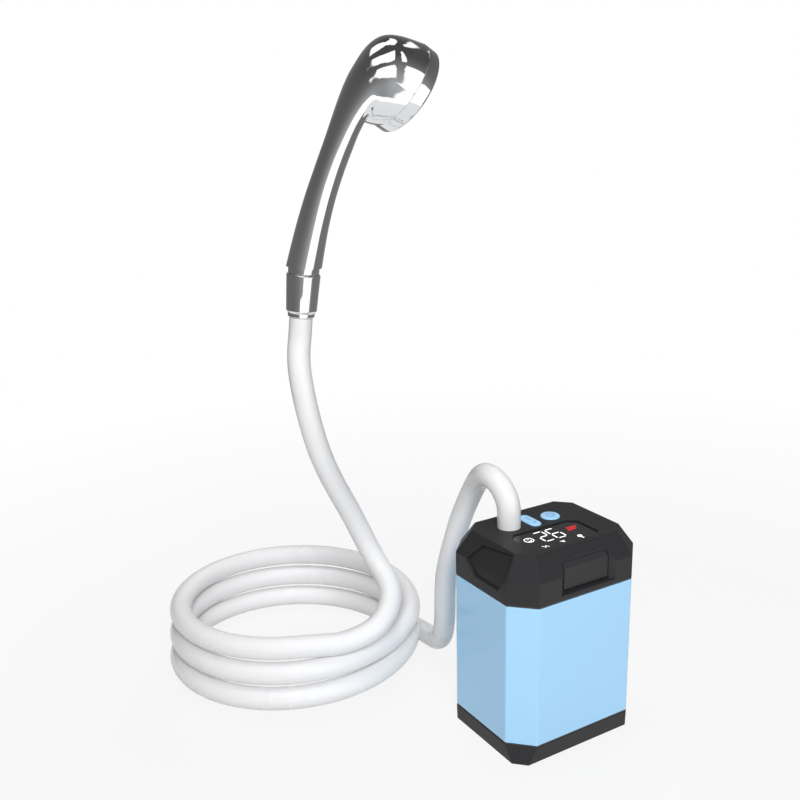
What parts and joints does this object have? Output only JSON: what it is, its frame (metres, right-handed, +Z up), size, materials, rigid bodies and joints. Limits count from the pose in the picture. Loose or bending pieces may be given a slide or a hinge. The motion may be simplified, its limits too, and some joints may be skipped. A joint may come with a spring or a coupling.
{
  "type": "portable shower",
  "caption": "Battery pump unit with display, push buttons and charge flap, feeding a long white hose that lies coiled on the floor and ends in a chrome shower handset on a swivel nut.",
  "frame": {"origin": "middle of the pump's footprint, on the floor it stands on", "axes": "+Z up, -Y out of the pump's front with display and charge flap, -X towards the side that the hose coil lies on"},
  "size_m": [0.2633, 0.3132, 0.4632],
  "materials": {
    "black_abs": "fine satin grain",
    "blue_abs": "glossy",
    "display_glass": "gloss black panel",
    "flap_plastic": "satin",
    "white_hose": "glossy",
    "chrome": "mirror plated",
    "steel": "plain",
    "seal_rubber": "matte",
    "inner_plastic": "moulded",
    "cell_wrap": "shrink wrap",
    "circuit_board": "solder mask",
    "nozzle_silicone": "soft matte",
    "spray_face": "silver satin"
  },
  "bodies": {
    "pump": {"base_cover": "black_abs", "intake_screen": "steel", "base_gasket": "seal_rubber", "body_sleeve": "blue_abs", "cap_gasket": "seal_rubber", "top_cap": "black_abs", "display_lens": "display_glass", "flap_pin": "steel", "outlet_spigot": "inner_plastic", "base_screws": "steel", "bulkhead": "inner_plastic", "volute": "inner_plastic", "shaft_seal": "seal_rubber", "motor": "steel", "motor_clamp": "inner_plastic", "clamp_screws": "steel", "delivery_tube": "inner_plastic", "battery_tray": "inner_plastic", "battery_cells": "cell_wrap", "control_board": "circuit_board", "board_screws": "steel", "display_module": "display_glass", "usb_socket": "steel", "key_switches": "inner_plastic", "hose_arch": "white_hose", "hose_coil": "white_hose", "hose_riser": "white_hose", "hose_tail": "steel"},
    "power_key": {"power_button": "blue_abs"},
    "mode_key": {"mode_button": "blue_abs"},
    "flap": {"charge_flap": "flap_plastic"},
    "rotor": {"rotor_shaft": "steel", "impeller": "inner_plastic"},
    "handset": {"swivel_nut": "chrome", "nut_washer": "seal_rubber", "inlet_nipple": "chrome", "handset_shell": "chrome", "diffuser_disc": "inner_plastic", "nozzle_mat": "nozzle_silicone", "spray_plate": "spray_face", "face_ring": "chrome"}
  },
  "joints": [
    {"name": "power_press", "type": "slide", "parent": "pump", "child": "power_key", "axis": [0, 0, -1], "range_m": [0, 0.0008], "stiffness_N_per_m": 800},
    {"name": "mode_press", "type": "slide", "parent": "pump", "child": "mode_key", "axis": [0, 0, -1], "range_m": [0, 0.0008], "stiffness_N_per_m": 800},
    {"name": "flap_hinge", "type": "hinge", "parent": "pump", "child": "flap", "pos_m": [0.0015, -0.0389, 0.1177], "axis": [1, 0, 0], "range_deg": [0, 105]},
    {"name": "rotor_spin", "type": "hinge", "parent": "pump", "child": "rotor", "pos_m": [0.014, -0.00075, 0], "axis": [0, 0, 1], "continuous": true},
    {"name": "handset_swivel", "type": "hinge", "parent": "pump", "child": "handset", "pos_m": [-0.113, 0.127, 0.281], "axis": [0.0896, -0.0538, 0.9945], "continuous": true}
  ]
}
